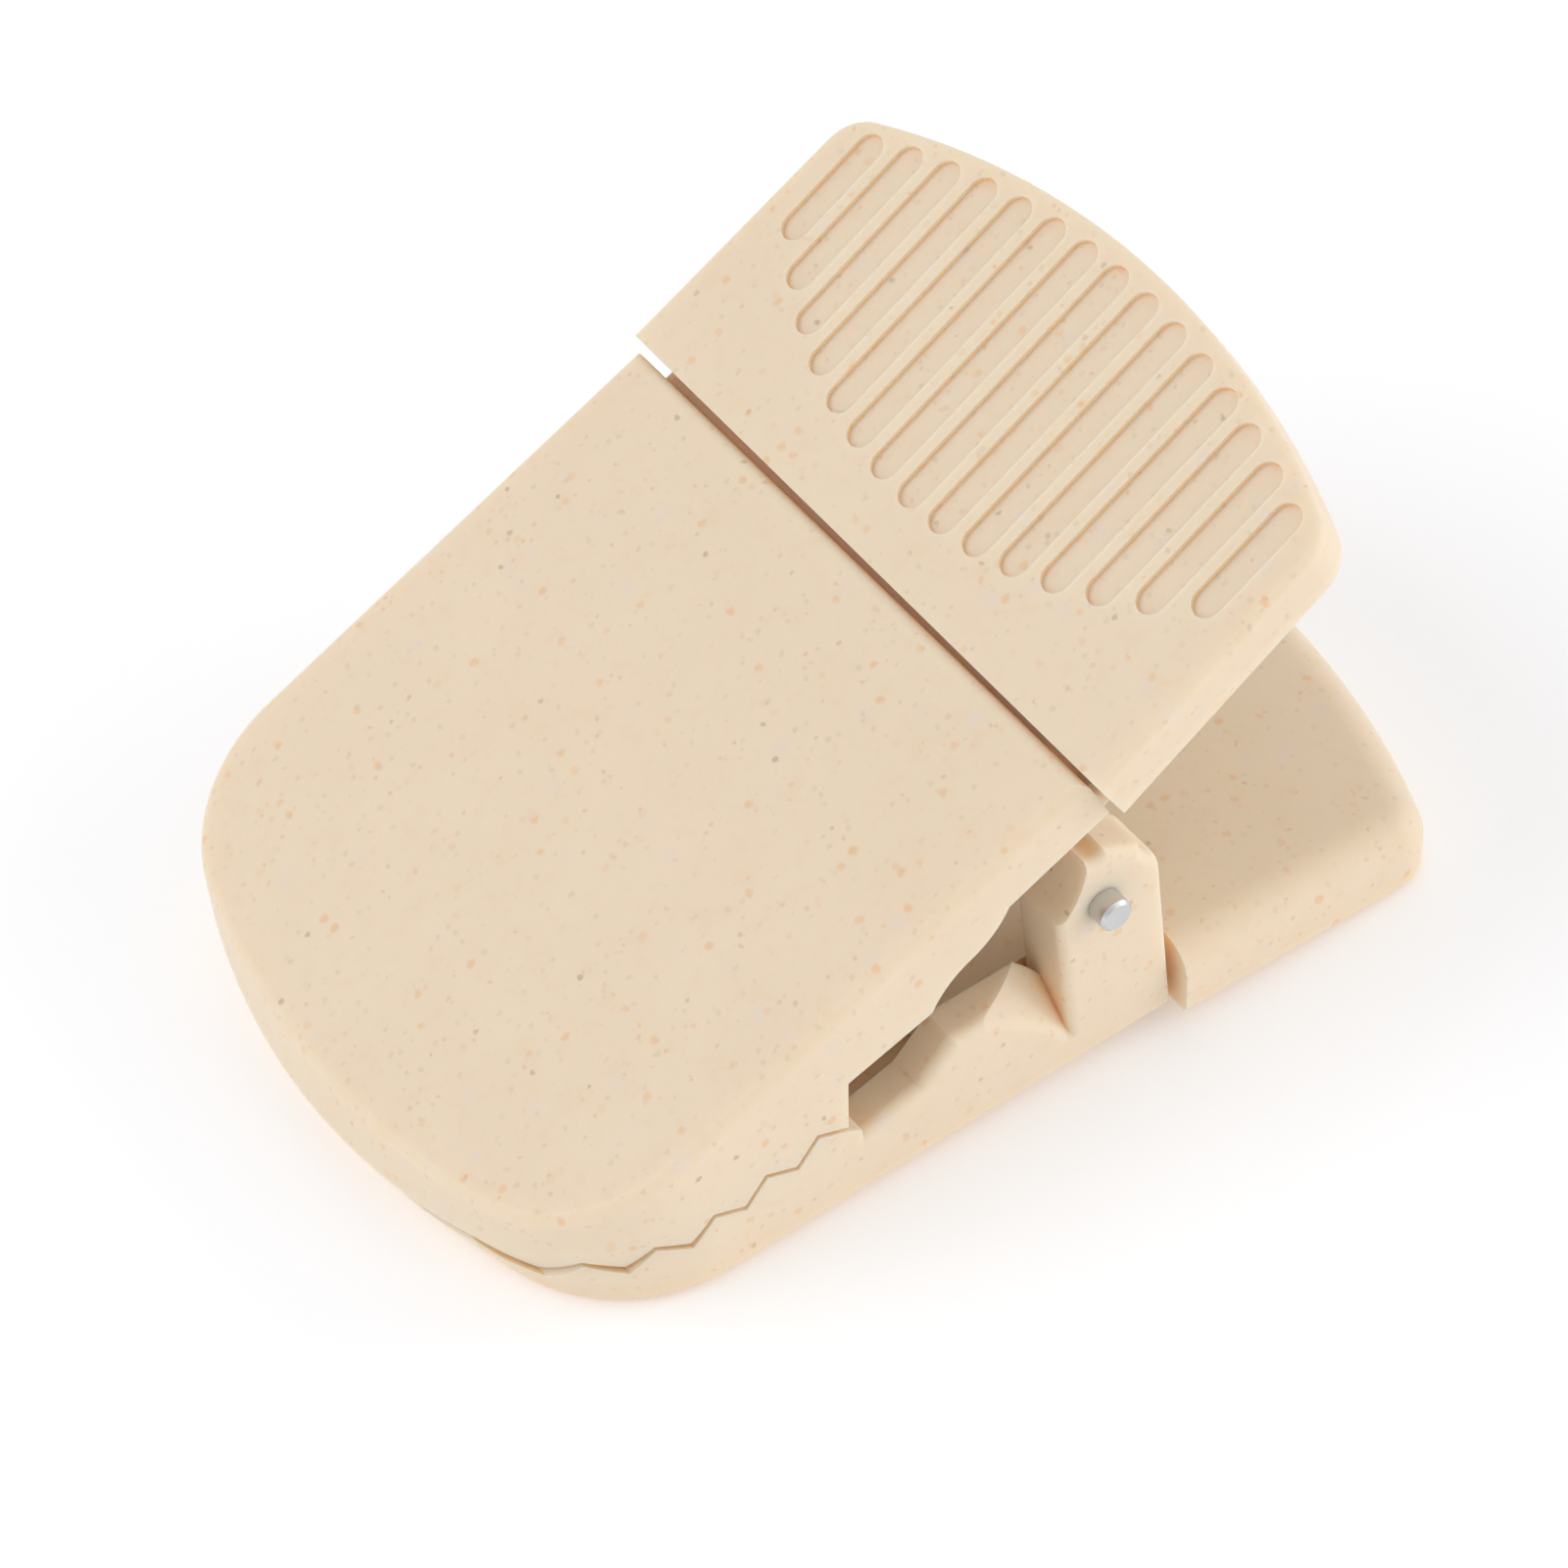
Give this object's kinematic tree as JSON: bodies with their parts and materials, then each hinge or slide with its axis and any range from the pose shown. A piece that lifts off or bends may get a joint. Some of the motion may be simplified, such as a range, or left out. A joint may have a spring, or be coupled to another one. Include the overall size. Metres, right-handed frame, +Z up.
{
  "type": "spring bag clip",
  "caption": "Spring-loaded bag clip with two broad toothed jaws, ribbed thumb levers, a steel hinge pin and a torsion spring.",
  "frame": {"origin": "on the surface the clip lies on, under the middle of its bounding box", "axes": "-X towards the tip of the jaws, +X towards the thumb end, Y along the hinge pin, +Z up"},
  "size_m": [0.0602, 0.0424, 0.0308],
  "materials": {
    "upper_cover_plastic": "satin, slightly translucent, finely speckled",
    "upper_lever_plastic": "satin, slightly translucent, finely speckled",
    "lower_cover_plastic": "satin, slightly translucent, finely speckled",
    "lower_lever_plastic": "satin, slightly translucent, finely speckled",
    "pin_steel": "satin",
    "spring_steel": "satin"
  },
  "bodies": {
    "lower_half": {"lower_jaw_cover": "lower_cover_plastic", "lower_thumb_lever": "lower_lever_plastic", "hinge_pin": "pin_steel", "torsion_spring": "spring_steel"},
    "upper_half": {"upper_jaw_cover": "upper_cover_plastic", "upper_thumb_lever": "upper_lever_plastic"}
  },
  "joints": [
    {"name": "jaw_hinge", "type": "hinge", "parent": "lower_half", "child": "upper_half", "pos_m": [0.00539, 0, 0.01171], "axis": [0, 1, 0], "range_deg": [0, 40], "stiffness_Nm_per_rad": 0.05, "springref_deg": -28.65, "deforming": ["torsion_spring"]}
  ]
}
